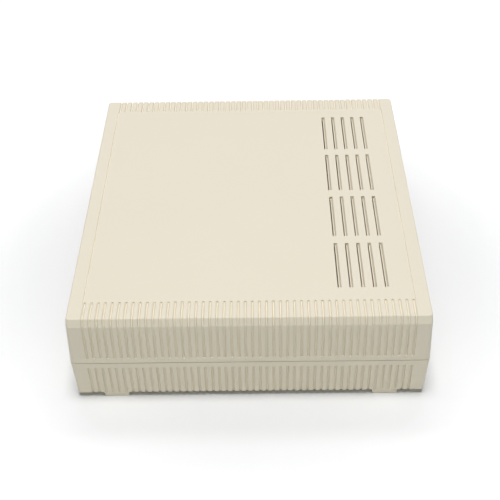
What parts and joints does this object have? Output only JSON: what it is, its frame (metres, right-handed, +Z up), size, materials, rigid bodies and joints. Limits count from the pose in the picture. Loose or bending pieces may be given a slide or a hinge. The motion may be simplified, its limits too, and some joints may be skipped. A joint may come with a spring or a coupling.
{
  "type": "desktop instrument case",
  "caption": "Desktop instrument case: moulded upper and lower half shells with fluted sides, vent slots in the top, flat end panels and moulded feet, closed by screws from below.",
  "frame": {"origin": "centre of the footprint, on the surface that the feet stand on", "axes": "+X from the front panel to the rear panel, which is the vented end; +Y across the fluted sides; +Z up"},
  "size_m": [0.183, 0.206, 0.0545],
  "materials": {
    "shell": "fine matt grain",
    "panel": "plain matt",
    "screw": "zinc plated"
  },
  "bodies": {
    "root": {"top_cover": "shell", "bottom_cover": "shell", "front_panel": "panel", "rear_panel": "panel", "cover_screws": "screw"}
  },
  "joints": []
}
